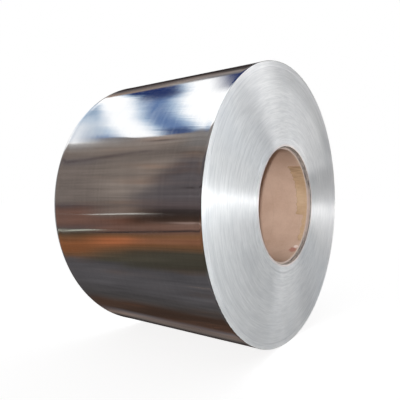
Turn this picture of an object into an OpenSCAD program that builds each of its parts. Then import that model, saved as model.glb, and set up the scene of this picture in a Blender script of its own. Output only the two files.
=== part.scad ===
// A coil of aluminium foil wound on a paper core, lying on its round side.
// The coil's axis runs along X. The origin is on the floor, under the middle of the coil.

/* [Coil] */
// Outer diameter of the wound foil
coil_d = 1240; // [800:5:1600]
// Width of the foil strip, which is the coil's length along its axis
foil_w = 780; // [300:5:1600]

/* [Core] */
// Inner diameter of the paper core, where the mandrel goes
core_bore_d = 505; // [400:1:610]
// Wall thickness of the paper core
core_wall = 10; // [6:0.5:20]
// Depth of each end of the core inside the coil's end
core_recess = 16; // [4:1:40]
// Chamfer on the core's cut edges
core_chamfer = 1; // [0.5:0.1:2]
// Gap between the core and the first turn
core_gap = 0.2; // [0.1:0.05:0.5]

/* [Turns] */
// Average radial width of a band of turns that lie in line
band_w = 11; // [6:1:30]
// Furthest that a band has wandered sideways while winding
band_drift = 0.9; // [0.1:0.1:3]
// Radial width of the few turns that lean over from one band to the next
lean_w = 1.6; // [0.4:0.2:3]
// Radial width of the turns at the core, wound before the guide was set
start_w = 34; // [15:1:60]
// How far the turns at the core stand out of the near end
start_step = 1.2; // [0.2:0.1:4]
// Radial width of the last turns, wound slowly at the end of the run
tail_w = 22; // [10:1:40]
// How far the last turns stand back from the near end
tail_step = 1; // [0.2:0.1:4]

/* [Hidden] */
round_fn = 180;

core_d = core_bore_d + 2 * core_wall;
core_len = foil_w - 2 * core_recess;
bore_r = core_d / 2 + core_gap;
coil_r = coil_d / 2;

// The turns between the start and the tail, shared out in bands
body_r0 = bore_r + start_w;
body_r1 = coil_r - tail_w;
bands = max(3, round((body_r1 - body_r0) / band_w));

// Steps in degrees, from band to band, of the slow waves in place and in width
drift_step_a = 137.5;
drift_step_b = 52;
width_step = 97;
// Share of wave a in the drift, and the wander in width as a share of a band
drift_share_a = 0.6;
width_wander = 0.3;

// Radius at which band i of the body begins, with the bands a little uneven in width
function band_r(i) =
    let (wander = i > 0 && i < bands ? width_wander * sin(i * width_step) : 0)
    body_r0 + (body_r1 - body_r0) * (i + wander) / bands;

// Sideways place of band i: a mix of two slow waves that stays within band_drift
function band_shift(i) =
    band_drift * (drift_share_a * sin(i * drift_step_a)
        + (1 - drift_share_a) * sin(i * drift_step_b));

// Every band of the coil from the bore outwards, as [inner radius, outer radius, shift]
turn_bands = concat(
    [[bore_r, body_r0, start_step]],
    [for (i = [0:bands - 1]) [band_r(i), band_r(i + 1), band_shift(i)]],
    [[body_r1, coil_r, -tail_step]]
);

// Lays what was turned about Z on its side, with its lowest line on the floor
module lie_on_floor() {
    translate([0, 0, coil_r]) rotate([0, 90, 0]) children();
}

// Outline of the turns across one end: each band is flat, and leans over to the next one
function turn_outline(end_x) = [
    for (b = turn_bands)
    let (
        r0 = b[0] == bore_r ? b[0] : b[0] + lean_w / 2,
        r1 = b[1] == coil_r ? b[1] : b[1] - lean_w / 2
    )
    for (r = [r0, r1]) [r, end_x + b[2]]
];

// The strip keeps its width, so a band that stands out of one end is sunk in the other
module foil_coil() {
    near_end = turn_outline(foil_w / 2);
    far_end = turn_outline(-foil_w / 2);
    last = len(far_end) - 1;
    color("#c8cbcf") lie_on_floor()
        rotate_extrude($fn = round_fn)
            polygon(concat(near_end, [for (i = [last:-1:0]) far_end[i]]));
}

// A straight paper tube with both cut edges eased inside and out
module core_tube() {
    r0 = core_bore_d / 2;
    r1 = core_d / 2;
    h = core_len / 2;
    c = core_chamfer;
    color("#b8947a") lie_on_floor()
        rotate_extrude($fn = round_fn)
            polygon([
                [r0 + c, -h], [r1 - c, -h], [r1, -h + c], [r1, h - c],
                [r1 - c, h], [r0 + c, h], [r0, h - c], [r0, -h + c]
            ]);
}

foil_coil();
core_tube();
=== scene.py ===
import math

import bmesh
import bpy
import numpy as np
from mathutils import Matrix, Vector


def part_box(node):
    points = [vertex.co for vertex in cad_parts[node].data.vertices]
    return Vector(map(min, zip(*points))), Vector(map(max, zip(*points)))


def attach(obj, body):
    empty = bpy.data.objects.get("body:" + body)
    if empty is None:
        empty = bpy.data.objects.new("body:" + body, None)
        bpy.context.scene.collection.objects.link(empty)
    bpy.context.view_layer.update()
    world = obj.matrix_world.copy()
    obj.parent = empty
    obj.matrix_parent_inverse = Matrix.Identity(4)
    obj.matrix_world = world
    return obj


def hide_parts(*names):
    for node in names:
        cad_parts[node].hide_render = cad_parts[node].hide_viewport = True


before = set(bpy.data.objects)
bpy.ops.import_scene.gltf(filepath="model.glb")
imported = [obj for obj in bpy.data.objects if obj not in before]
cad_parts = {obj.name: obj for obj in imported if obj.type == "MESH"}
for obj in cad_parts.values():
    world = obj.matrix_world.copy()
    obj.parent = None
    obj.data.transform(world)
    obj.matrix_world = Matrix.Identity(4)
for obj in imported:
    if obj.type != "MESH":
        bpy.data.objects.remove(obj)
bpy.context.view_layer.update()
mm = 0.001

# the coil's own measures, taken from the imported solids
coilLow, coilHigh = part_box("foil_coil")
coreLow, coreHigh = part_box("core_tube")
startStep = 1.2 * mm    # the first turns stand out of the near end by this much
tailStep = 1.0 * mm    # and the last ones are drawn in by this much
coilRadius = (coilHigh.z - coilLow.z) / 2
axisHeight = (coilHigh.z + coilLow.z) / 2
halfWidth = coilHigh.x - startStep
coreRadius = (coreHigh.z - coreLow.z) / 2
coreHalf = coreHigh.x
coreWall = 10 * mm
firstRadius = coreRadius + 0.2 * mm    # the foil's first turn lies this close round the core
turnWall = 1.3 * mm    # wall of the modelled first and outer turns
print("measures: coil radius", round(coilRadius, 4), "core radius", round(coreRadius, 4))


# meshes turned round the coil's axis

def turnAngles(count, extra=()):
    plain = np.linspace(0, 2 * math.pi, count, endpoint=False)
    return np.unique(np.concatenate([plain, np.array(extra, dtype=float)]))


def gridPiece(name, points, finish, closedAround=True, sharp=40):
    # points[i, j] is station i round the axis and point j round the closed section
    stations, loop = points.shape[:2]
    lastStation = stations if closedAround else stations - 1
    faces = []
    for i in range(lastStation):
        here = i * loop
        there = ((i + 1) % stations) * loop
        for j in range(loop):
            k = (j + 1) % loop
            faces.append((here + j, here + k, there + k, there + j))
    if not closedAround:    # a short strip gets its two end caps
        faces.append(tuple(range(loop)))
        faces.append(tuple((stations - 1) * loop + j for j in reversed(range(loop))))
    mesh = bpy.data.meshes.new(name)
    mesh.from_pydata(points.reshape(-1, 3).tolist(), [], faces)
    tidyMesh = bmesh.new()
    tidyMesh.from_mesh(mesh)
    bmesh.ops.recalc_face_normals(tidyMesh, faces=tidyMesh.faces)
    tidyMesh.to_mesh(mesh)
    tidyMesh.free()
    mesh.shade_smooth()
    mesh.set_sharp_from_angle(angle=math.radians(sharp))
    mesh.materials.append(finish)
    piece = bpy.data.objects.new(name, mesh)
    bpy.context.scene.collection.objects.link(piece)
    return piece


def turned(along, outward, angles):
    # arrays of x and radius, stations by section points, become points round the axis
    turn = angles[:, None]
    sideways, upward = outward * np.cos(turn), axisHeight + outward * np.sin(turn)
    return np.stack([along + 0 * turn, sideways, upward], axis=2)


# shader nodes

def addNode(tree, kind, inputs=None, **settings):
    node = tree.nodes.new(kind)
    for key, value in settings.items():
        setattr(node, key, value)
    for key, value in (inputs or {}).items():
        if isinstance(value, bpy.types.NodeSocket):
            tree.links.new(value, node.inputs[key])
        else:
            node.inputs[key].default_value = value
    return node


def calc(tree, operation, *values):
    return addNode(tree, "ShaderNodeMath", dict(enumerate(values)), operation=operation).outputs[0]


def remap(tree, value, low, high, toLow=0.0, toHigh=1.0, kind="SMOOTHSTEP"):
    ports = {"Value": value, "From Min": low, "From Max": high, "To Min": toLow, "To Max": toHigh}
    return addNode(tree, "ShaderNodeMapRange", ports, interpolation_type=kind).outputs[0]


def mixColour(tree, factor, first, second, blend="MIX"):
    colours = [c if isinstance(c, bpy.types.NodeSocket) else (*c, 1.0) for c in (first, second)]
    node = addNode(tree, "ShaderNodeMix", data_type="RGBA", blend_type=blend)
    for port, value in ((0, factor), (6, colours[0]), (7, colours[1])):
        if isinstance(value, bpy.types.NodeSocket):
            tree.links.new(value, node.inputs[port])
        else:
            node.inputs[port].default_value = value
    return node.outputs[2]


def colourRamp(tree, factor, stops):
    node = addNode(tree, "ShaderNodeValToRGB", {"Fac": factor})
    band = node.color_ramp
    while len(band.elements) < len(stops):
        band.elements.new(1.0)
    for element, (place, colour) in zip(band.elements, stops):
        element.position = place
    for element, (place, colour) in zip(band.elements, stops):
        element.color = (*colour, 1.0)
    return node.outputs[0]


def noiseAt(tree, vector, scale, detail, roughness, distortion=0.0):
    ports = {"Vector": vector, "Scale": scale, "Detail": detail, "Roughness": roughness,
             "Distortion": distortion}
    return addNode(tree, "ShaderNodeTexNoise", ports).outputs["Fac"]


def bumpFrom(tree, height, strength, distance):
    ports = {"Strength": strength, "Distance": distance, "Height": height}
    return addNode(tree, "ShaderNodeBump", ports).outputs[0]


def newGroup(name, inputs, outputs):
    group = bpy.data.node_groups.new(name, "ShaderNodeTree")
    for label, value in inputs.items():
        kind = "NodeSocketVector" if value is None else "NodeSocketFloat"
        socket = group.interface.new_socket(name=label, in_out="INPUT", socket_type=kind)
        if value is not None:
            socket.default_value = value
    for label in outputs:
        group.interface.new_socket(name=label, in_out="OUTPUT", socket_type="NodeSocketFloat")
    return group, group.nodes.new("NodeGroupInput").outputs, group.nodes.new("NodeGroupOutput")


def useGroup(tree, group, inputs):
    node = tree.nodes.new("ShaderNodeGroup")
    node.node_tree = group
    for key, value in inputs.items():
        if isinstance(value, bpy.types.NodeSocket):
            tree.links.new(value, node.inputs[key])
        else:
            node.inputs[key].default_value = value
    return node.outputs


def makeWindingGrain():
    # noise drawn out round the axis: rolling lines on a turn, edges of turns on an end
    start = {"Position": None, "Axis Height": 0.62, "Across": 0.0, "Outward": 0.0, "Around": 1.0}
    group, given, result = newGroup("windingGrain", start, ("Fine", "Broad", "Radius"))
    parts = addNode(group, "ShaderNodeSeparateXYZ", {0: given["Position"]}).outputs
    height = calc(group, "SUBTRACT", parts[2], given["Axis Height"])
    squared = calc(group, "MULTIPLY_ADD", parts[1], parts[1], calc(group, "MULTIPLY", height, height))
    radius = calc(group, "SQRT", squared)
    sweep = calc(group, "DIVIDE", given["Around"], calc(group, "MAXIMUM", radius, 0.01))
    outward = calc(group, "MULTIPLY", radius, given["Outward"])
    line = calc(group, "MULTIPLY_ADD", parts[0], given["Across"], outward)
    for label, share, detail in (("Fine", 1.0, 4.0), ("Broad", 0.13, 3.0)):
        vector = addNode(group, "ShaderNodeCombineXYZ", {
            0: calc(group, "MULTIPLY", line, share),
            1: calc(group, "MULTIPLY", parts[1], sweep),
            2: calc(group, "MULTIPLY", height, sweep)}).outputs[0]
        group.links.new(noiseAt(group, vector, 1.0, detail, 0.6), result.inputs[label])
    group.links.new(radius, result.inputs["Radius"])
    return group


def makeHandling():
    # smudges and short fine scratches left by lifting and slitting
    start = {"Position": None, "Smudge Scale": 6.0, "Scratch Scale": 30.0, "Scratch Length": 0.05}
    group, given, result = newGroup("handling", start, ("Smudge", "Scratch"))
    smudge = noiseAt(group, given["Position"], given["Smudge Scale"], 5.0, 0.55, 0.4)
    group.links.new(remap(group, smudge, 0.42, 0.68), result.inputs["Smudge"])
    parts = addNode(group, "ShaderNodeSeparateXYZ", {0: given["Position"]}).outputs
    drawn = addNode(group, "ShaderNodeCombineXYZ", {
        0: calc(group, "MULTIPLY", parts[0], given["Scratch Length"]),
        1: calc(group, "MULTIPLY_ADD", parts[2], 0.35, parts[1]),
        2: calc(group, "MULTIPLY_ADD", parts[1], -0.35, parts[2])}).outputs[0]
    scratch = noiseAt(group, drawn, given["Scratch Scale"], 6.0, 0.75)
    group.links.new(remap(group, scratch, 0.66, 0.72), result.inputs["Scratch"])
    return group


def makePaperFibre():
    # short crossed fibres and soft clouding of kraft board
    start = {"Position": None, "Fibre Scale": 160.0}
    group, given, result = newGroup("paperFibre", start, ("Fibre", "Cloud"))
    warp = addNode(group, "ShaderNodeTexNoise", {"Vector": given["Position"], "Scale": 40.0, "Detail": 2.0})
    ports = {0: warp.outputs["Color"], 1: (0.012, 0.012, 0.012)}
    bent = addNode(group, "ShaderNodeVectorMath", ports, operation="MULTIPLY").outputs[0]
    ports = {0: given["Position"], 1: bent}
    moved = addNode(group, "ShaderNodeVectorMath", ports, operation="ADD").outputs[0]
    fibre = noiseAt(group, moved, given["Fibre Scale"], 7.0, 0.72, 1.6)
    cloud = noiseAt(group, given["Position"], 9.0, 4.0, 0.6)
    group.links.new(fibre, result.inputs["Fibre"])
    group.links.new(cloud, result.inputs["Cloud"])
    return group


windingGrain = makeWindingGrain()
handling = makeHandling()
paperFibre = makePaperFibre()


def newFinish(name):
    finish = bpy.data.materials.new(name)
    finish.use_nodes = True
    tree = finish.node_tree
    tree.nodes.clear()
    shader = addNode(tree, "ShaderNodeBsdfPrincipled")
    addNode(tree, "ShaderNodeOutputMaterial", {"Surface": shader.outputs[0]})
    place = addNode(tree, "ShaderNodeTexCoord").outputs["Object"]
    return finish, tree, shader, place


def plug(tree, value, shader, port):
    tree.links.new(value, shader.inputs[port])


def brushRound(tree, shader, anisotropy):    # highlights spread across the turns
    tangent = addNode(tree, "ShaderNodeTangent", direction_type="RADIAL", axis="X")
    plug(tree, tangent.outputs[0], shader, "Tangent")
    shader.inputs["Anisotropic"].default_value = anisotropy
    shader.inputs["Anisotropic Rotation"].default_value = 0.25


# outer turn: one bright sheet with long shallow waves and the lap of the foil's tail

outerTurn = {
    "stations": 384,
    "columns": 72,
    "edge": 0.5 * mm,
    "waves": 14,
    "slope": 0.0032,
    "lapAngle": -128.0,
    "lapStep": 0.12 * mm,
    "bright": (0.93, 0.935, 0.94),
    "dull": (0.87, 0.875, 0.885),
    "smudged": (0.86, 0.855, 0.84),
    "roughness": 0.045,
    "anisotropy": 0.92,
    "lines": {"Across": 700.0, "Around": 2.5},
    "handling": {"Smudge Scale": 4.0, "Scratch Scale": 45.0, "Scratch Length": 3.0},
    "relief": 0.01 * mm,
    "seed": 11,
}


def outerTurnFoil():
    v = outerTurn
    finish, tree, shader, place = newFinish("outerTurnFoil")
    lines = useGroup(tree, windingGrain, {"Position": place, "Axis Height": axisHeight, **v["lines"]})
    marks = useGroup(tree, handling, {"Position": place, **v["handling"]})
    shade = calc(tree, "MULTIPLY_ADD", lines["Broad"], 0.6, calc(tree, "MULTIPLY", lines["Fine"], 0.4))
    colour = mixColour(tree, remap(tree, shade, 0.3, 0.7), v["dull"], v["bright"])
    colour = mixColour(tree, calc(tree, "MULTIPLY", marks["Smudge"], 0.25), colour, v["smudged"])
    plug(tree, colour, shader, "Base Color")
    rough = calc(tree, "MULTIPLY_ADD", marks["Smudge"], 0.04, v["roughness"])
    rough = calc(tree, "MULTIPLY_ADD", marks["Scratch"], 0.12, rough)
    rough = calc(tree, "MULTIPLY_ADD", lines["Broad"], 0.03, rough)
    plug(tree, rough, shader, "Roughness")
    height = calc(tree, "MULTIPLY_ADD", marks["Scratch"], -0.6, lines["Fine"])
    plug(tree, bumpFrom(tree, height, 0.35, v["relief"]), shader, "Normal")
    brushRound(tree, shader, v["anisotropy"])
    shader.inputs["Metallic"].default_value = 1.0
    return finish


def makeOuterTurn():
    v = outerTurn
    chance = np.random.default_rng(v["seed"])
    lap = math.radians(v["lapAngle"]) % (2 * math.pi)
    angles = turnAngles(v["stations"], [lap - 0.0012, lap - 0.0003, lap + 0.0003, lap + 0.0012])
    near = halfWidth - 0.6 * tailStep
    far = -halfWidth - tailStep
    edge = v["edge"]
    along = np.linspace(near - edge, far + edge, v["columns"])
    corner = np.radians([0, 30, 60])
    ease = edge * np.cos(corner)    # the strip's edges are rounded a little
    rise = coilRadius - edge + edge * np.sin(corner)
    x = np.concatenate([near - edge + ease, along, far + edge - ease[::-1], [far, near]])
    r = np.concatenate([rise, np.full(len(along), coilRadius), rise[::-1], [coilRadius - turnWall] * 2])
    turn = angles[:, None]
    wave = np.zeros((len(angles), len(x)))
    for _ in range(v["waves"]):    # long waves, each as steep as the next
        around = chance.integers(2, 26)
        across = chance.uniform(-9, 9)
        size = v["slope"] / math.hypot(around / coilRadius, across) / math.sqrt(v["waves"] / 2)
        wave += size * np.cos(around * turn + across * x + chance.uniform(0, 6.28))
    wave = (wave - wave.min()) * np.clip((np.minimum(near - x, x - far)) / 0.03, 0, 1)
    wave = np.minimum(wave, turnWall * 0.6)
    past = ((turn - lap) % (2 * math.pi)) / (2 * math.pi)    # the sheet sinks back to itself round one turn
    skin = np.where(r > coilRadius - 0.9 * turnWall, 1.0, 0.0)
    outward = r - skin * (wave + v["lapStep"] * past)
    piece = gridPiece("foil_outer_turn", turned(x[None, :], outward, angles), outerTurnFoil())
    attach(piece, "root")
    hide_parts("foil_coil")
    return piece


shell = makeOuterTurn()
print("outer turn done:", len(shell.data.polygons), "faces")


# ends: the edges of thousands of turns, in the same bands as the solid

turnEdges = {
    "stations": 240,
    "bandWidth": 11 * mm,
    "bandDrift": 0.14 * mm,    # gentler than in the solid, whose steps would show as dark rings
    "leanWidth": 4.0 * mm,
    "startWidth": 34 * mm,
    "tailWidth": 22 * mm,
    "lineWidth": 2.3 * mm,
    "lineDepth": 0.12 * mm,
    "depth": 40 * mm,
    "bright": (0.92, 0.915, 0.915),
    "dull": (0.75, 0.75, 0.755),
    "smudged": (0.66, 0.67, 0.69),
    # painted shade tone for the outer turns on one side
    "paintedOuterShade": (0.74, 0.74, 0.745),
    "metallic": 0.75,
    "roughness": 0.32,
    "anisotropy": 1.0,
    "lines": {"Across": 4.0, "Outward": 130.0, "Around": 4.0},
    "hair": {"Across": 4.0, "Outward": 300.0, "Around": 9.0},
    "handling": {"Smudge Scale": 5.0, "Scratch Scale": 60.0, "Scratch Length": 1.0},
    "relief": 0.2 * mm,
}


def turnEdgeFoil():
    v = turnEdges
    finish, tree, shader, place = newFinish("turnEdgeFoil")
    lines = useGroup(tree, windingGrain, {"Position": place, "Axis Height": axisHeight, **v["lines"]})
    hair = useGroup(tree, windingGrain, {"Position": place, "Axis Height": axisHeight, **v["hair"]})
    marks = useGroup(tree, handling, {"Position": place, **v["handling"]})
    shade = calc(tree, "MULTIPLY_ADD", lines["Fine"], 0.5, calc(tree, "MULTIPLY", lines["Broad"], 0.12))
    shade = calc(tree, "MULTIPLY_ADD", hair["Fine"], 0.38, shade)
    colour = mixColour(tree, remap(tree, shade, 0.38, 0.62), v["dull"], v["bright"])
    # the first turns and the last ones are lighter; a thin painted shade line lies in the gap beside each,
    # and the bore edge and outer rim get painted highlights
    span = coilRadius - firstRadius
    start = v["startWidth"] / span
    tail = 1 - v["tailWidth"] / span
    # line is a painted shade tone for the gaps beside the start and tail bands; the ramp's first and last
    # stops are a painted warm highlight at the bore edge and a painted highlight on the outer rim
    plain, line = (0.5, 0.5, 0.5), (0.46, 0.46, 0.465)    # half is as it was, and more is lighter
    outwardShare = remap(tree, lines["Radius"], firstRadius, coilRadius, kind="LINEAR")
    rings = colourRamp(tree, outwardShare, [
        (0.0, (0.57, 0.51, 0.48)), (0.02, (0.56, 0.51, 0.485)),
        (0.03, (0.515, 0.515, 0.515)), (start - 0.006, (0.52, 0.52, 0.52)),
        (start, line), (start + 0.008, plain), (tail - 0.02, plain), (tail - 0.004, line),
        (tail, (0.53, 0.53, 0.53)), (0.985, (0.54, 0.54, 0.54)), (1.0, (0.64, 0.635, 0.63))])
    rings = mixColour(tree, 1.0, rings, (2.0, 2.0, 2.0), "MULTIPLY")
    colour = mixColour(tree, 1.0, colour, rings, "MULTIPLY")
    # painted shade: the outer turns are darker on the upper, +Y side
    parts = addNode(tree, "ShaderNodeSeparateXYZ", {0: place}).outputs
    height = calc(tree, "SUBTRACT", parts[2], axisHeight)
    slope = calc(tree, "MULTIPLY_ADD", height, 0.9, calc(tree, "MULTIPLY", parts[1], 0.4))
    outerTurns = remap(tree, lines["Radius"], 0.78 * coilRadius, 0.9 * coilRadius)
    shadedSide = calc(tree, "MULTIPLY", remap(tree, slope, 0.36, 0.5), outerTurns)
    paintedOuterShade = mixColour(tree, 1.0, colour, v["paintedOuterShade"], "MULTIPLY")
    colour = mixColour(tree, calc(tree, "MULTIPLY", shadedSide, 0.9), colour, paintedOuterShade)
    colour = mixColour(tree, calc(tree, "MULTIPLY", marks["Smudge"], 0.3), colour, v["smudged"])
    plug(tree, colour, shader, "Base Color")
    rough = calc(tree, "MULTIPLY_ADD", lines["Fine"], 0.1, v["roughness"] - 0.05)
    rough = calc(tree, "MULTIPLY_ADD", marks["Smudge"], 0.05, rough)
    plug(tree, rough, shader, "Roughness")
    relief = calc(tree, "MULTIPLY_ADD", lines["Fine"], 1.0, calc(tree, "MULTIPLY", hair["Fine"], 0.4))
    plug(tree, bumpFrom(tree, relief, 0.5, v["relief"]), shader, "Normal")
    brushRound(tree, shader, v["anisotropy"])
    shader.inputs["Metallic"].default_value = v["metallic"]
    return finish


def turnBands():
    v = turnEdges
    inner = firstRadius + v["startWidth"]
    outer = coilRadius - v["tailWidth"]
    count = max(3, round((outer - inner) / v["bandWidth"]))

    def bandRadius(i):
        wander = 0.3 * math.sin(math.radians(i * 97)) if 0 < i < count else 0
        return inner + (outer - inner) * (i + wander) / count

    def bandShift(i):    # two slow waves
        drift = 0.6 * math.sin(math.radians(i * 137.5)) + 0.4 * math.sin(math.radians(i * 52))
        return v["bandDrift"] * drift

    bands = [(firstRadius + turnWall, inner, startStep)]
    bands += [(bandRadius(i), bandRadius(i + 1), bandShift(i)) for i in range(count)]
    bands += [(outer, coilRadius - turnWall, -tailStep)]
    return bands


def makeTurnEdges(name, side, finish, seed):
    v = turnEdges
    chance = np.random.default_rng(seed)
    angles = turnAngles(v["stations"])
    radii, shifts, depths = [], [], []
    for first, last, shift in turnBands():
        low = first if first < firstRadius + 2 * turnWall else first + v["leanWidth"] / 2
        high = last if last > coilRadius - 2 * turnWall else last - v["leanWidth"] / 2
        count = max(3, round((high - low) / v["lineWidth"]))
        for k, radius in enumerate(np.linspace(low, high, count)):
            radii.append(radius)
            shifts.append(shift)
            depths.append(v["lineDepth"] * (chance.uniform(0, 1) ** 2 if 0 < k < count - 1 else 0.1))
    radii, shifts, depths = map(np.array, (radii, shifts, depths))
    turn = angles[:, None]
    sway = np.zeros((len(angles), len(radii)))
    for _ in range(3):    # each line comes and goes round its turn
        times = chance.integers(1, 4, len(radii))
        sway += np.cos(times * turn + chance.uniform(0, 6.28, len(radii))) / 6
    faceX = side * halfWidth + shifts - side * depths * (0.75 + sway)
    back = side * (halfWidth - v["depth"])
    edge = np.full((len(angles), 1), back)
    along = np.concatenate([faceX, edge, edge], axis=1)
    outward = np.concatenate([radii, [radii[-1], radii[0]]])[None, :] + 0 * turn
    piece = gridPiece(name, turned(along, outward, angles), finish, sharp=60)
    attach(piece, "root")
    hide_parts("foil_coil")
    return piece


edgeFinish = turnEdgeFoil()
nearEdges = makeTurnEdges("foil_turn_edges_near", 1, edgeFinish, 21)
farEdges = makeTurnEdges("foil_turn_edges_far", -1, edgeFinish, 22)
print("turn edges done:", len(nearEdges.data.polygons), "faces an end")


# first turn: the wall that shows between the end of the core and the end of the coil

firstTurn = {
    "stations": 240,
    "ruffle": 0.25 * mm,
    "ruffleDepth": 9 * mm,
    "colour": (0.68, 0.64, 0.61),
    "dark": (0.16, 0.145, 0.14),
    # painted highlight tone
    "paintedHighlight": (0.84, 0.70, 0.63),
    "metallic": 0.45,
    "roughness": 0.3,
    "lines": {"Across": 500.0, "Around": 9.0},
    "handling": {"Smudge Scale": 25.0, "Scratch Scale": 90.0, "Scratch Length": 2.0},
    "relief": 0.1 * mm,
    "seed": 31,
}


def firstTurnFoil():
    v = firstTurn
    finish, tree, shader, place = newFinish("firstTurnFoil")
    lines = useGroup(tree, windingGrain, {"Position": place, "Axis Height": axisHeight, **v["lines"]})
    marks = useGroup(tree, handling, {"Position": place, **v["handling"]})
    colour = mixColour(tree, remap(tree, lines["Fine"], 0.36, 0.64), v["dark"], v["colour"])
    # a painted warm highlight at about the axis height, near each end of the wall
    parts = addNode(tree, "ShaderNodeSeparateXYZ", {0: place}).outputs
    height = calc(tree, "SUBTRACT", parts[2], axisHeight)
    paintedHighlight = calc(tree, "MULTIPLY", remap(tree, height, 0.13, 0.03), remap(tree, height, -0.2, -0.1))
    inside = calc(tree, "ABSOLUTE", parts[0])
    paintedHighlight = calc(tree, "MULTIPLY", paintedHighlight, remap(tree, inside, halfWidth - 2 * mm, halfWidth - 5 * mm))
    colour = mixColour(tree, calc(tree, "MULTIPLY", paintedHighlight, 0.8), colour, v["paintedHighlight"])
    plug(tree, colour, shader, "Base Color")
    plug(tree, calc(tree, "MULTIPLY_ADD", marks["Smudge"], 0.15, v["roughness"]), shader, "Roughness")
    plug(tree, bumpFrom(tree, lines["Fine"], 0.5, v["relief"]), shader, "Normal")
    shader.inputs["Metallic"].default_value = v["metallic"]
    return finish


def makeFirstTurn():
    v = firstTurn
    chance = np.random.default_rng(v["seed"])
    angles = turnAngles(v["stations"])
    near = halfWidth + startStep
    far = -halfWidth + startStep
    ends = np.array([0, 0.3, 1.2, 4, 9, 18]) * mm
    x = np.concatenate([near - ends, (far + ends)[::-1], [far, near]])
    r = np.concatenate([np.full(2 * len(ends), firstRadius), [firstRadius + turnWall] * 2])
    turn = angles[:, None]
    ruffle = np.zeros((len(angles), 1))
    for _ in range(9):
        ruffle += np.cos(chance.integers(3, 40) * turn + chance.uniform(0, 6.28)) / 9
    free = np.clip(1 - np.minimum(abs(x - near), abs(x - far)) / v["ruffleDepth"], 0, 1)
    size = v["ruffle"] * (1 + ruffle) / 2
    along = x[None, :] - np.sign(x) * np.where(free > 0.95, 1, 0) * size
    outward = r[None, :] + np.where(r < firstRadius + turnWall / 2, 1, 0) * free * size
    piece = gridPiece("foil_first_turn", turned(along, outward, angles), firstTurnFoil())
    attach(piece, "root")
    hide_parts("foil_coil")
    return piece


firstWall = makeFirstTurn()
print("first turn done")


# core: wound kraft board with its plies at the rim and a strip of tape inside

paperCore = {
    "stations": 300,
    "plies": 12,
    "plyStep": 0.22 * mm,
    "chamfer": 1.0 * mm,
    "columns": 60,
    "unround": 0.25 * mm,
    "kraft": (0.65, 0.475, 0.375),
    "kraftDark": (0.54, 0.375, 0.285),
    "seam": (0.36, 0.24, 0.17),
    "rim": (0.88, 0.76, 0.68),
    "rimDark": (0.66, 0.52, 0.44),
    "fibreScale": 170.0,
    "lines": {"Across": 60.0, "Outward": 1400.0, "Around": 4.0},
    "relief": 0.15 * mm,
    "seed": 41,
    "seamPitch": 150 * mm,
    # marks inside the near mouth: angle, depth, half height in degrees, half depth, colour
    # the second mark is a pale painted glint
    "paintedGlint": (-52.0, 14 * mm, 2.6, 13 * mm, (0.86, 0.72, 0.66)),
    "rub": (-57.0, 22 * mm, 4.5, 22 * mm, (0.50, 0.25, 0.20)),
}


def coreKraft():
    v = paperCore
    finish, tree, shader, place = newFinish("coreKraft")
    paper = useGroup(tree, paperFibre, {"Position": place, "Fibre Scale": v["fibreScale"]})
    lines = useGroup(tree, windingGrain, {"Position": place, "Axis Height": axisHeight, **v["lines"]})
    shade = calc(tree, "MULTIPLY_ADD", paper["Cloud"], 0.5, calc(tree, "MULTIPLY", paper["Fibre"], 0.5))
    colour = mixColour(tree, remap(tree, shade, 0.36, 0.62), v["kraftDark"], v["kraft"])
    parts = addNode(tree, "ShaderNodeSeparateXYZ", {0: place}).outputs
    height = calc(tree, "SUBTRACT", parts[2], axisHeight)
    sweep = calc(tree, "DIVIDE", calc(tree, "ARCTAN2", height, parts[1]), 2 * math.pi)
    # butted seams of the innermost ply run round in a slow spiral
    spiral = calc(tree, "ADD", calc(tree, "DIVIDE", parts[0], v["seamPitch"]), calc(tree, "ADD", sweep, 8.3))
    beside = calc(tree, "ABSOLUTE", calc(tree, "SUBTRACT", calc(tree, "FRACT", spiral), 0.5))
    seam = calc(tree, "SUBTRACT", 1.0, remap(tree, beside, 0.0, 0.008))
    colour = mixColour(tree, calc(tree, "MULTIPLY", seam, 0.35), colour, v["seam"])
    # a pale painted glint and a reddish rub near the rim
    for turn, depth, tall, deep, tint in (v["rub"], v["paintedGlint"]):
        above = calc(tree, "DIVIDE", calc(tree, "SUBTRACT", sweep, turn / 360), tall / 360)
        above = calc(tree, "MULTIPLY_ADD", paper["Cloud"], 0.8, above)
        inward = calc(tree, "DIVIDE", calc(tree, "SUBTRACT", coreHalf - depth, parts[0]), deep)
        away = calc(tree, "MULTIPLY_ADD", above, above, calc(tree, "MULTIPLY", inward, inward))
        away = calc(tree, "SQRT", away)
        away = calc(tree, "ADD", away, remap(tree, paper["Fibre"], 0.3, 0.7, -0.35, 0.35, "LINEAR"))
        colour = mixColour(tree, remap(tree, away, 1.0, 0.7), colour, tint)
    # the cut rim is paler, ply by ply
    rimMask = remap(tree, calc(tree, "ABSOLUTE", parts[0]), coreHalf - 1.6 * mm, coreHalf - 0.7 * mm)
    rimColour = mixColour(tree, remap(tree, lines["Fine"], 0.35, 0.65), v["rimDark"], v["rim"])
    colour = mixColour(tree, rimMask, colour, rimColour)
    plug(tree, colour, shader, "Base Color")
    plug(tree, remap(tree, paper["Fibre"], 0.3, 0.7, 0.62, 0.8, "LINEAR"), shader, "Roughness")
    relief = calc(tree, "MULTIPLY_ADD", seam, -1.5, paper["Fibre"])
    plug(tree, bumpFrom(tree, relief, 0.5, v["relief"]), shader, "Normal")
    shader.inputs["Specular IOR Level"].default_value = 0.35
    return finish


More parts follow.
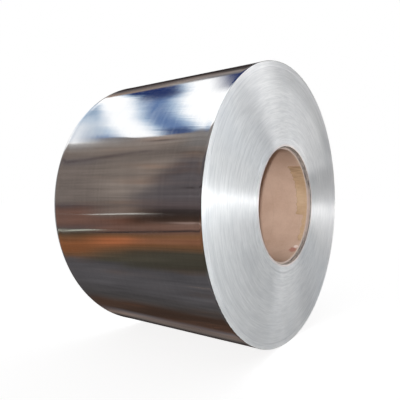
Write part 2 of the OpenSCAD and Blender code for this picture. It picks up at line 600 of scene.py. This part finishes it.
def makePaperCore():
    v = paperCore
    chance = np.random.default_rng(v["seed"])
    angles = turnAngles(v["stations"])
    turn = angles[:, None]
    inner = coreRadius - coreWall
    cut = v["chamfer"]
    plyEdges = np.linspace(inner + cut, coreRadius - cut, v["plies"] * 2)
    rimIn = np.repeat(v["plyStep"] * chance.uniform(0, 1, v["plies"]), 2)
    inside = np.linspace(-coreHalf + cut, coreHalf - cut, v["columns"])
    outside = np.linspace(coreHalf - cut, -coreHalf + cut, 8)
    x = np.concatenate([inside, coreHalf - rimIn, outside, (-coreHalf + rimIn)[::-1]])
    innerWall, outerWall = np.full(len(inside), inner), np.full(len(outside), coreRadius)
    r = np.concatenate([innerWall, plyEdges, outerWall, plyEdges[::-1]])
    fray = np.zeros((len(angles), len(x)))
    onRim = (abs(x) > coreHalf - cut / 2)
    for _ in range(6):
        fray += np.cos(chance.integers(5, 60, len(x)) * turn + chance.uniform(0, 6.28, len(x))) / 6
    along = x[None, :] - np.sign(x) * onRim * 0.06 * mm * (1 + fray)
    belly = v["unround"] * (1 + np.cos(2 * turn + 0.6) * np.cos(7 * x[None, :] + 1)) / 2
    outward = r[None, :] + np.where(r < inner + cut / 2, 1, 0) * belly
    piece = gridPiece("core_paper_tube", turned(along, outward, angles), coreKraft(), sharp=50)
    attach(piece, "root")
    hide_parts("core_tube")
    return piece


paperTube = makePaperCore()
print("paper core done")


coreTape = {
    "fromAngle": -44.0,
    "stepAngle": -12.0,
    "toAngle": 48.0,
    "stations": 140,
    "narrow": 20 * mm,
    "rows": 28,
    "width": 55 * mm,
    "torn": 18 * mm,
    "ragged": 4 * mm,
    "thickness": 0.3 * mm,
    "wrinkle": 1.0 * mm,
    "curl": 1.8 * mm,
    "curlTurn": 1.5,
    "colour": (0.66, 0.48, 0.32),
    "dark": (0.52, 0.35, 0.215),
    # painted shade tone
    "paintedCreaseShade": (0.34, 0.22, 0.13),
    "fibreScale": 90.0,
    "relief": 0.2 * mm,
    "seed": 51,
}


def tapeFinish():
    v = coreTape
    finish, tree, shader, place = newFinish("coreTape")
    paper = useGroup(tree, paperFibre, {"Position": place, "Fibre Scale": v["fibreScale"]})
    colour = mixColour(tree, remap(tree, paper["Cloud"], 0.35, 0.65), v["dark"], v["colour"])
    # painted shade along its curled edges and down its creases
    paintedCreaseShade = addNode(tree, "ShaderNodeAttribute", attribute_name="paintedCreaseShade").outputs["Fac"]
    colour = mixColour(tree, calc(tree, "MULTIPLY", paintedCreaseShade, 0.75), colour, v["paintedCreaseShade"])
    plug(tree, colour, shader, "Base Color")
    plug(tree, remap(tree, paper["Cloud"], 0.3, 0.7, 0.35, 0.5, "LINEAR"), shader, "Roughness")
    plug(tree, bumpFrom(tree, paper["Fibre"], 0.4, v["relief"]), shader, "Normal")
    return finish


def makeCoreTape():
    v = coreTape
    chance = np.random.default_rng(v["seed"])
    angles = np.radians(np.linspace(v["fromAngle"], v["toAngle"], v["stations"]))
    turn = angles[:, None]
    inner = coreRadius - coreWall
    share = np.linspace(0, 1, v["rows"])
    upper = np.clip((np.degrees(turn) - 25) / 20, 0, 1)
    reach = v["width"] + v["torn"] * upper * (0.5 + 0.5 * np.cos(23 * turn) * np.cos(61 * turn))
    narrow = v["narrow"] * (1 + 0.15 * np.cos(37 * turn))    # below the step only a narrow strip is left
    reach = reach + v["ragged"] * np.cos(19 * turn) * np.cos(53 * turn)
    reach = np.where(np.degrees(turn) < v["stepAngle"], narrow, reach)
    start = coreHalf - paperCore["chamfer"] - 0.4 * mm
    along = start - reach * share[None, :]
    crease = np.zeros((len(angles), v["rows"]))
    for _ in range(12):
        times, tilt = chance.uniform(8, 70), chance.uniform(-60, 60)
        crease += abs(np.cos(times * turn + tilt * along + chance.uniform(0, 6.28))) ** 6 / 4
    raised = np.clip(crease, 0, 1) * (0.25 + 0.75 * upper) * np.sin(math.pi * share)[None, :]
    lift = v["thickness"] + v["wrinkle"] * raised
    edgeTurn = np.minimum(turn - angles[0], angles[-1] - turn) / math.radians(v["curlTurn"])
    curl = np.maximum(np.clip(1 - edgeTurn, 0, 1), np.clip((share[None, :] - 0.85) / 0.15, 0, 1))
    step = 1 - abs(np.degrees(turn) - v["stepAngle"] - 0.7) / 1.4
    beyond = np.clip(reach * share[None, :] / v["narrow"] - 1, 0, 1)
    curl = np.maximum(curl, np.clip(step, 0, 1) * beyond)
    lift = lift + v["curl"] * curl ** 2
    top = inner - lift
    bottom = np.full_like(top, inner + 0.02 * mm)
    along = np.concatenate([along, along[:, ::-1]], axis=1)
    outward = np.concatenate([top, bottom], axis=1)
    points = turned(along, outward, angles)
    piece = gridPiece("core_tape", points, tapeFinish(), closedAround=False, sharp=50)
    # where the painted shade falls: curled edges and creases
    paintedCreaseShade = np.clip(np.maximum(curl ** 3, (crease - 0.25) * (0.2 + 0.8 * upper)), 0, 1)
    paintedCreaseShade = np.concatenate([paintedCreaseShade, paintedCreaseShade[:, ::-1]], axis=1)
    piece.data.attributes.new("paintedCreaseShade", "FLOAT", "POINT").data.foreach_set("value", paintedCreaseShade.ravel())
    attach(piece, "root")
    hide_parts("core_tube")
    return piece


tapeStrip = makeCoreTape()
print("core tape done")


# studio: surroundings that only show in the metal, a pale floor, lamps for the ends, and the camera

surroundings = {
    "tones": {
        "white": (1.15, 1.15, 1.15), "pale": (0.42, 0.41, 0.40), "ash": (0.25, 0.23, 0.22),
        "stone": (0.215, 0.21, 0.215), "sand": (0.29, 0.25, 0.23), "taupe": (0.225, 0.185, 0.16),
        "umber": (0.165, 0.135, 0.12), "slate": (0.105, 0.092, 0.096), "dusk": (0.085, 0.066, 0.066),
        "soot": (0.034, 0.026, 0.025), "wine": (0.145, 0.080, 0.062), "clay": (0.19, 0.115, 0.09),
        "orange": (0.33, 0.115, 0.05), "ochre": (0.235, 0.09, 0.038), "rust": (0.155, 0.078, 0.039),
        "moss": (0.080, 0.060, 0.040), "olive": (0.058, 0.052, 0.039), "asphalt": (0.082, 0.077, 0.081),
        "shade": (0.060, 0.055, 0.054), "peat": (0.056, 0.034, 0.025), "mauve": (0.18, 0.14, 0.125),
        "haze": (0.40, 0.55, 0.72), "steel": (0.22, 0.31, 0.44), "blue": (0.11, 0.19, 0.38),
        "navy": (0.018, 0.034, 0.125), "glint": (0.80, 0.78, 0.72), "leaf": (0.66, 0.68, 0.58),
        "blush": (0.30, 0.21, 0.18), "ember": (0.21, 0.092, 0.052), "speck": (0.20, 0.085, 0.05),
    },
    # angle round the coil's axis, 0 in front and 90 overhead, at three reaches along the axis
    "near": [
        (-160, "umber"), (-154, "soot"), (-144, "soot"), (-139, "shade"), (-133, "umber"),
        (-127, "mauve"), (-122, "slate"), (-117, "peat"), (-103, "peat"), (-94, "shade"),
        (-80, "asphalt"), (-55, "asphalt"), (-49, "olive"), (-37, "olive"), (-31, "rust"),
        (-26, "ember"), (-21, "rust"), (-18, "wine"), (-13, "clay"), (-10, "peat"), (-4, "soot"),
        (0, "dusk"), (8, "slate"), (36, "slate"), (42, "umber"), (50, "ash"), (62, "ash"),
        (128, "stone"), (133, "sand"), (138, "umber"), (142, "soot"),
    ],
    "middle": [
        (-160, "umber"), (-154, "soot"), (-144, "soot"), (-138, "shade"), (-132, "umber"),
        (-124, "dusk"), (-117, "peat"), (-106, "peat"), (-96, "shade"), (-78, "asphalt"),
        (-50, "asphalt"), (-45, "olive"), (-39, "moss"), (-33, "rust"), (-28, "orange"),
        (-24, "orange"), (-20, "rust"), (-17, "wine"), (-8, "wine"), (-6, "umber"), (-4, "umber"),
        (0, "umber"), (8, "taupe"), (36, "taupe"), (46, "umber"), (54, "taupe"), (62, "ash"),
        (128, "sand"), (133, "taupe"), (138, "slate"), (144, "soot"),
    ],
    "far": [
        (-160, "umber"), (-154, "soot"), (-144, "soot"), (-138, "peat"), (-131, "umber"),
        (-125, "umber"), (-119, "olive"), (-106, "shade"), (-94, "shade"), (-76, "asphalt"),
        (-46, "asphalt"), (-40, "rust"), (-35, "ochre"), (-28, "ochre"), (-22, "rust"), (-18, "olive"),
        (-12, "dusk"), (-9, "wine"), (-3, "wine"), (0, "dusk"), (3, "umber"), (15, "umber"),
        (36, "umber"), (43, "slate"), (46, "umber"), (51, "taupe"), (57, "ash"), (62, "pale"),
        (132, "pale"), (141, "soot"),
    ],
    "sky": [
        (0.0, "white"), (0.16, "white"), (0.25, "haze"), (0.34, "blue"), (0.40, "haze"),
        (0.46, "white"), (0.825, "white"), (0.865, "haze"), (0.905, "blue"), (0.98, "blue"),
        (1.01, "haze"), (1.06, "white"), (1.20, "white"), (1.23, "haze"), (1.27, "haze"),
        (1.32, "white"), (1.8, "white"),
    ],
    # thin lines: angle at reach 1, slope, half width, from and to reach
    "lines": [
        (-6.6, -9.0, 0.45, 1.03, 1.34, "glint"), (-17.8, -19.0, 0.8, 1.3, 1.8, "leaf"),
        (-21.5, -16.0, 1.2, 0.7, 1.3, "soot"), (15.0, 0.0, 1.2, 0.4, 0.85, "soot"),
        (57.0, 0.0, 0.9, 0.9, 1.0, "dusk"), (-13.0, 0.0, 1.1, 0.4, 0.9, "blush"),
        (-67.0, 0.0, 0.6, 0.4, 0.8, "mauve"), (48.0, -13.0, 1.5, 1.02, 1.55, "dusk"),
        (27.0, -8.0, 0.7, 1.0, 1.3, "umber"), (139.0, 0.0, 5.0, 0.3, 0.68, "shade"),
    ],
    "skyReach": 1.8,
    "skyFrom": 61.5,
    "skyTo": 127.0,
    "slant": 15.5,
    "slantFrom": 0.72,
    "warmth": (1.2, 0.92, 0.74),
    "plainEnds": (0.30, 0.305, 0.31),
    "softLight": 0.25,
}


def within(tree, value, low, high, soft):    # 1 between low and high, with soft edges
    rise = remap(tree, value, low - soft, low + soft)
    return calc(tree, "MULTIPLY", rise, remap(tree, value, high + soft, high - soft))


def paintGround(tree, direction, angle, reach, patch, mottle):
    v = surroundings
    tones = v["tones"]
    # below the horizon the bands lie at a slant, so they are read at a shifted angle
    low = calc(tree, "MULTIPLY", remap(tree, angle, 5.0, -24.0), remap(tree, angle, -85.0, -50.0))
    short = calc(tree, "SUBTRACT", calc(tree, "MINIMUM", reach, 1.6), v["slantFrom"])
    read = calc(tree, "MULTIPLY_ADD", low, calc(tree, "MULTIPLY", short, v["slant"]), angle)
    # streaks along the axis
    streakAt = addNode(tree, "ShaderNodeCombineXYZ", {
        0: calc(tree, "MULTIPLY", read, 0.45), 1: calc(tree, "MULTIPLY", reach, 2.2), 2: 4.0}).outputs[0]
    streak = noiseAt(tree, streakAt, 1.0, 4.0, 0.62)
    read = calc(tree, "ADD", read, remap(tree, streak, 0.3, 0.7, -0.9, 0.9, "LINEAR"))
    place = remap(tree, read, -180.0, 180.0, kind="LINEAR")
    near, middle, far = [colourRamp(tree, place, [((a + 180) / 360, tones[tone]) for a, tone in v[column]])
                         for column in ("near", "middle", "far")]
    # the near shade narrows higher up
    lean = calc(tree, "ADD", remap(tree, angle, 8.0, 46.0, -0.05, 0.24, "LINEAR"), reach)
    lean = calc(tree, "ADD", remap(tree, patch, 0.35, 0.65, -0.03, 0.03, "LINEAR"), lean)
    ground = mixColour(tree, remap(tree, lean, 1.02, 1.11), near, middle)
    ground = mixColour(tree, remap(tree, reach, 1.2, 1.4), ground, far)
    streaked = remap(tree, streak, 0.3, 0.7, 0.78, 1.22, "LINEAR")
    shade = calc(tree, "MULTIPLY", streaked, remap(tree, patch, 0.35, 0.65, 0.82, 1.16, "LINEAR"))
    grey = addNode(tree, "ShaderNodeCombineColor", {0: shade, 1: shade, 2: shade}).outputs[0]
    ground = mixColour(tree, 1.0, ground, grey, "MULTIPLY")
    # warm stains, and specks strewn on the ground below
    warm = mixColour(tree, 1.0, ground, v["warmth"], "MULTIPLY")
    stain = remap(tree, noiseAt(tree, direction, 7.0, 4.0, 0.6), 0.5, 0.7, 0.0, 0.6)
    ground = mixColour(tree, stain, ground, warm)
    strewn = calc(tree, "MULTIPLY", within(tree, angle, -125.0, -102.0, 6.0), remap(tree, mottle, 0.56, 0.66))
    nearby = calc(tree, "MULTIPLY", remap(tree, reach, 1.15, 0.8, 0.2, 1.0), remap(tree, patch, 0.42, 0.58))
    strewn = calc(tree, "MULTIPLY", strewn, nearby)
    return mixColour(tree, calc(tree, "MULTIPLY", strewn, 0.7), ground, tones["speck"])


def paintSky(tree, angle, reach, mottle):
    # white with blue gaps, deepest towards the rear and along their lower edge
    v = surroundings
    tones = v["tones"]
    upper = calc(tree, "MULTIPLY", remap(tree, angle, 98.0, 112.0, 0.0, 0.045), remap(tree, reach, 1.0, 0.85))
    rear = calc(tree, "MULTIPLY", remap(tree, angle, 112.0, 126.0, 0.0, 0.05), remap(tree, reach, 0.98, 1.03))
    skyReach = calc(tree, "ADD", reach, calc(tree, "SUBTRACT", upper, rear))
    skyReach = calc(tree, "ADD", skyReach, remap(tree, mottle, 0.3, 0.7, -0.02, 0.02, "LINEAR"))
    skyReach = calc(tree, "ADD", skyReach, remap(tree, angle, 80.0, 64.0, 0.0, 0.07, "LINEAR"))
    stops = [(r / v["skyReach"], tones[tone]) for r, tone in v["sky"]]
    sky = colourRamp(tree, calc(tree, "DIVIDE", skyReach, v["skyReach"]), stops)
    inBlue = within(tree, skyReach, 0.88, 1.01, 0.03)
    for edge in ((99.0, 111.0), (69.0, 65.0, 0.0, 0.8)):    # the gap is darkest at its two ends
        deep = calc(tree, "MULTIPLY", remap(tree, angle, *edge), inBlue)
        sky = mixColour(tree, deep, sky, tones["navy"])
    rearCorner = calc(tree, "MULTIPLY", remap(tree, angle, 94.0, 108.0), remap(tree, reach, 0.73, 0.62))
    sky = mixColour(tree, rearCorner, sky, tones["navy"])
    overhead = calc(tree, "MULTIPLY", within(tree, angle, 78.0, 98.0, 10.0), 0.45)
    hazy = within(tree, reach, 1.23, 1.37, 0.03)
    hazy = calc(tree, "MULTIPLY", hazy, calc(tree, "SUBTRACT", 1.0, overhead))
    sky = mixColour(tree, calc(tree, "MULTIPLY", hazy, 0.9), sky, tones["steel"])
    lowHaze = within(tree, reach, 1.17, 1.3, 0.04)
    lowHaze = calc(tree, "MULTIPLY", lowHaze, remap(tree, angle, 70.0, 65.0, 0.0, 0.8))
    sky = mixColour(tree, lowHaze, sky, tones["blue"])
    farCorner = remap(tree, angle, 84.0, 94.0, 0.0, 0.6)
    farCorner = calc(tree, "MULTIPLY", farCorner, remap(tree, reach, 1.28, 1.36))
    return mixColour(tree, farCorner, sky, tones["haze"])


def paintSurroundings(tree, direction):
    v = surroundings
    parts = addNode(tree, "ShaderNodeSeparateXYZ", {0: direction}).outputs
    flat = calc(tree, "MULTIPLY_ADD", parts[1], parts[1], calc(tree, "MULTIPLY", parts[2], parts[2]))
    flat = calc(tree, "MAXIMUM", calc(tree, "SQRT", flat), 0.001)
    reach = calc(tree, "DIVIDE", calc(tree, "ABSOLUTE", parts[0]), flat)
    angle = calc(tree, "DEGREES", calc(tree, "ARCTAN2", parts[2], calc(tree, "MULTIPLY", parts[1], -1.0)))
    patchAt = addNode(tree, "ShaderNodeCombineXYZ", {
        0: calc(tree, "MULTIPLY_ADD", reach, 2.5, calc(tree, "MULTIPLY", angle, 0.07)),
        1: calc(tree, "MULTIPLY", reach, 3.0), 2: 9.0}).outputs[0]
    patch = noiseAt(tree, patchAt, 1.0, 3.0, 0.55)
    mottle = noiseAt(tree, direction, 60.0, 3.0, 0.6)
    ground = paintGround(tree, direction, angle, reach, patch, mottle)
    sky = paintSky(tree, angle, reach, mottle)
    # the lower edge of the sky isn't quite level
    edge = calc(tree, "MULTIPLY_ADD", within(tree, reach, 1.1, 1.28, 0.04), 2.4, v["skyFrom"])
    edge = calc(tree, "ADD", edge, remap(tree, reach, 0.82, 0.76, 0.0, 2.5))
    edge = calc(tree, "ADD", edge, remap(tree, mottle, 0.3, 0.7, -0.5, 0.5, "LINEAR"))
    inSky = remap(tree, calc(tree, "SUBTRACT", angle, edge), -0.4, 0.4)
    inSky = calc(tree, "MULTIPLY", inSky, remap(tree, angle, v["skyTo"] + 1, v["skyTo"] - 1))
    colour = mixColour(tree, inSky, ground, sky)
    for at, slope, width, start, end, tint in v["lines"]:
        middleOf = calc(tree, "MULTIPLY_ADD", calc(tree, "SUBTRACT", reach, 1.0), slope, at)
        on = remap(tree, calc(tree, "ABSOLUTE", calc(tree, "SUBTRACT", angle, middleOf)), width, width * 0.2)
        on = calc(tree, "MULTIPLY", on, within(tree, reach, start, end, 0.05))
        colour = mixColour(tree, on, colour, v["tones"][tint])
    # the horizon behind the near end, which only that end's edges see, and the far reaches are plain
    behind = remap(tree, calc(tree, "ABSOLUTE", angle), 150.0, 165.0)
    behind = calc(tree, "MULTIPLY", behind, remap(tree, parts[0], -0.05, 0.05))
    colour = mixColour(tree, behind, colour, v["plainEnds"])
    return mixColour(tree, remap(tree, reach, 1.7, 2.3), colour, v["plainEnds"])


def makeWorld():
    world = bpy.data.worlds.new("studio")
    world.use_nodes = True
    tree = world.node_tree
    tree.nodes.clear()
    path = addNode(tree, "ShaderNodeLightPath").outputs
    seen = paintSurroundings(tree, addNode(tree, "ShaderNodeTexCoord").outputs["Generated"])
    soft = surroundings["softLight"]
    colour = mixColour(tree, path["Is Glossy Ray"], (soft, soft, soft), seen)
    colour = mixColour(tree, path["Is Camera Ray"], colour, (1.0, 1.0, 1.0))
    background = addNode(tree, "ShaderNodeBackground", {"Color": colour, "Strength": 1.0})
    addNode(tree, "ShaderNodeOutputWorld", {"Surface": background.outputs[0]})
    bpy.context.scene.world = world


makeWorld()


floorPlane = {"half": 30, "grey": 0.62, "lift": 0.85}


def makeFloor():
    v = floorPlane
    mesh = bpy.data.meshes.new("studio_floor")
    corners = [(x * v["half"], y * v["half"], 0) for x, y in ((-1, -1), (1, -1), (1, 1), (-1, 1))]
    mesh.from_pydata(corners, [], [(0, 1, 2, 3)])
    finish = bpy.data.materials.new("paleFloor")
    finish.use_nodes = True
    tree = finish.node_tree
    tree.nodes.clear()
    path = addNode(tree, "ShaderNodeLightPath").outputs
    paint = addNode(tree, "ShaderNodeBsdfDiffuse", {"Color": (v["grey"], v["grey"], v["grey"], 1)})
    glow = calc(tree, "MULTIPLY", path["Is Camera Ray"], v["lift"])    # brightened for the camera only
    lift = addNode(tree, "ShaderNodeEmission", {"Color": (1, 1, 1, 1), "Strength": glow})
    both = addNode(tree, "ShaderNodeAddShader", {0: paint.outputs[0], 1: lift.outputs[0]})
    clear = addNode(tree, "ShaderNodeBsdfTransparent")
    ports = {0: path["Is Glossy Ray"], 1: both.outputs[0], 2: clear.outputs[0]}
    mix = addNode(tree, "ShaderNodeMixShader", ports)
    addNode(tree, "ShaderNodeOutputMaterial", {"Surface": mix.outputs[0]})
    mesh.materials.append(finish)
    floor = bpy.data.objects.new("studio_floor", mesh)
    bpy.context.scene.collection.objects.link(floor)


makeFloor()


def softLamp(name, place, target, width, height, radiance, colour=(1, 1, 1), only=None, glossy=True):
    light = bpy.data.lights.new(name, "AREA")
    light.shape = "RECTANGLE"
    light.size, light.size_y = width, height
    light.energy = radiance * math.pi * width * height
    light.color = colour
    lamp = bpy.data.objects.new(name, light)
    lamp.location = place
    lamp.rotation_euler = (Vector(target) - Vector(place)).to_track_quat("-Z", "Y").to_euler()
    lamp.visible_camera = False
    lamp.visible_glossy = glossy
    bpy.context.scene.collection.objects.link(lamp)
    if only:
        lamp.light_linking.receiver_collection = only


def aimAt(name, centre, turn, lift, distance, width, height, radiance, **more):
    # turn in degrees from +X towards +Y, lift above the horizon
    a, e = math.radians(turn), math.radians(lift)
    away = Vector((math.cos(a) * math.cos(e), math.sin(a) * math.cos(e), math.sin(e)))
    softLamp(name, Vector(centre) + away * distance, centre, width, height, radiance, **more)


endFaces = bpy.data.collections.new("endFaces")
matteParts = bpy.data.collections.new("matteParts")
for end in (nearEdges, farEdges):
    endFaces.objects.link(end)
for part in (nearEdges, farEdges, firstWall, paperTube, tapeStrip):
    matteParts.objects.link(part)

# turn, lift, distance, width, height, radiance, as seen from the middle of each end
lamps = {
    "key": (-63.6, 5.0, 2.5, 0.08, 0.08, 2750.0),
    "wash": (-66, 12, 2.5, 1.0, 1.0, 11.0),
    "cool": (-70, -9, 2.1, 1.0, 0.5, 42.0),
    "frontLine": (-30, 3.8, 12.0, 3.6, 0.32, 28.0),    # these stand far off, behind and in front
    "rearLine": (30, 0.8, 12.0, 3.6, 0.32, 10.2),
    "frontStreak": (-64, -1.0, 12.0, 3.6, 0.32, 3.0),
    "rearStreak": (64, -2.2, 12.0, 3.6, 0.32, 2.8),
    "frontTall": (-82, 24, 12.0, 2.0, 8.0, 4.7),
    "rearTall": (82, 24, 12.0, 2.0, 8.0, 5.0),
    "frontWide": (-60, 32, 12.0, 3.2, 3.2, 2.0),
    "rearWide": (57, 32, 12.0, 3.2, 3.2, 2.2),
}
# the rest light the turn edges only, white, and show in them
special = {
    "key": {"only": matteParts, "glossy": False},
    "wash": {"glossy": False},
    "cool": {"colour": (0.84, 0.95, 1.0), "glossy": False},
}
for tag, side in (("near", 0), ("far", 180)):    # the far end's lamps stand opposite the near end's
    middle = (halfWidth if tag == "near" else -halfWidth, 0, axisHeight)
    for kind, (turn, *rest) in lamps.items():
        settings = {"only": endFaces, **special.get(kind, {})}
        aimAt(f"{kind}_{tag}", middle, side + turn, *rest, **settings)

view = {
    "place": (1.1749, -1.6079, 0.672),
    "direction": (-0.5261, 0.8498, -0.0326),
    "lens": 35.77,
    "sensor": 36,
    "shift": (-0.12, 0.0175),
}
camera = bpy.data.cameras.new("camera")
camera.sensor_width = view["sensor"]
camera.lens = view["lens"]
camera.shift_x, camera.shift_y = view["shift"]
cameraObject = bpy.data.objects.new("camera", camera)
cameraObject.location = view["place"]
cameraObject.rotation_euler = Vector(view["direction"]).to_track_quat("-Z", "Y").to_euler()
bpy.context.scene.collection.objects.link(cameraObject)
bpy.context.scene.camera = cameraObject
bpy.context.scene.view_settings.view_transform = "Standard"
print("studio done")
